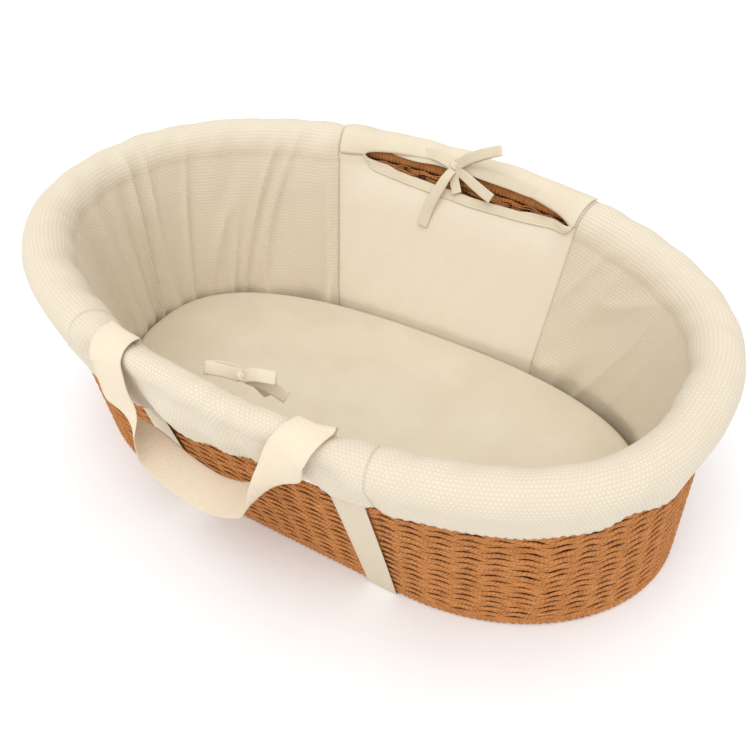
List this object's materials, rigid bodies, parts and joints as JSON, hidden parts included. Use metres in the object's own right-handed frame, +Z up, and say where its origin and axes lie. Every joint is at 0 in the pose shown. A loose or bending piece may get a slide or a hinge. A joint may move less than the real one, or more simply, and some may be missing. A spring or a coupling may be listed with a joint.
{
  "type": "moses basket",
  "caption": "Oval carrying basket for a newborn: woven rope wall, padded cotton liner tied over the rim, webbing handles and a lift-out mattress.",
  "frame": {"origin": "under the middle of the basket, on the ground", "axes": "+X to the foot end, +Y to the back, +Z up"},
  "size_m": [0.8311, 0.5714, 0.3245],
  "materials": {
    "rope": "matt twisted paper rope",
    "steel_wire": "drawn steel wire",
    "stake": "rope over wire",
    "waffle_cotton": "waffle weave cotton",
    "plain_cotton": "plain weave cotton",
    "wadding": "polyester wadding",
    "elastic": "woven elastic",
    "flat_tape": "flat cotton tape",
    "webbing": "twill cotton webbing",
    "foam": "open cell foam",
    "mattress_ticking": "smooth wipe-clean ticking",
    "sheet_cotton": "plain sheet cotton"
  },
  "bodies": {
    "basket": {"basket_floor": "rope", "basket_wall": "rope", "floor_rods": "stake", "foot_border": "rope", "foot_padding": "wadding", "foot_side_tape": "flat_tape", "foot_wire": "steel_wire", "front_handle_foot_end": "webbing", "front_handle_head_end": "webbing", "front_outer_flap": "waffle_cotton", "front_padding": "wadding", "front_slot_facing": "plain_cotton", "front_tie": "plain_cotton", "front_tie_casing": "plain_cotton", "head_padding": "wadding", "head_side_tape": "flat_tape", "hem_elastic": "elastic", "liner_foot_panel": "waffle_cotton", "liner_front_panel": "waffle_cotton", "liner_head_panel": "waffle_cotton", "liner_rear_panel": "waffle_cotton", "rear_handle_foot_end": "webbing", "rear_handle_head_end": "webbing", "rear_outer_flap": "waffle_cotton", "rear_padding": "wadding", "rear_slot_facing": "plain_cotton", "rear_tie": "plain_cotton", "rear_tie_casing": "plain_cotton", "rim_border": "rope", "rim_wire": "steel_wire", "wall_stakes": "stake"},
    "front_handle": {"front_handle": "webbing"},
    "rear_handle": {"rear_handle": "webbing"},
    "mattress": {"mattress_foam": "foam", "mattress_cover": "mattress_ticking", "fitted_sheet": "sheet_cotton"}
  },
  "joints": [
    {"name": "front_handle_swing", "type": "hinge", "parent": "basket", "child": "front_handle", "pos_m": [-0.00665, -0.26974, 0.25074], "axis": [-0.9983, 0.0212, 0.0552], "range_deg": [0, 175]},
    {"name": "rear_handle_swing", "type": "hinge", "parent": "basket", "child": "rear_handle", "pos_m": [-0.00665, 0.26974, 0.25074], "axis": [0.9983, 0.0212, -0.0552], "range_deg": [0, 175]},
    {"name": "mattress_lift", "type": "slide", "parent": "basket", "child": "mattress", "axis": [0, 0, 1], "range_m": [0, 0.3]}
  ]
}
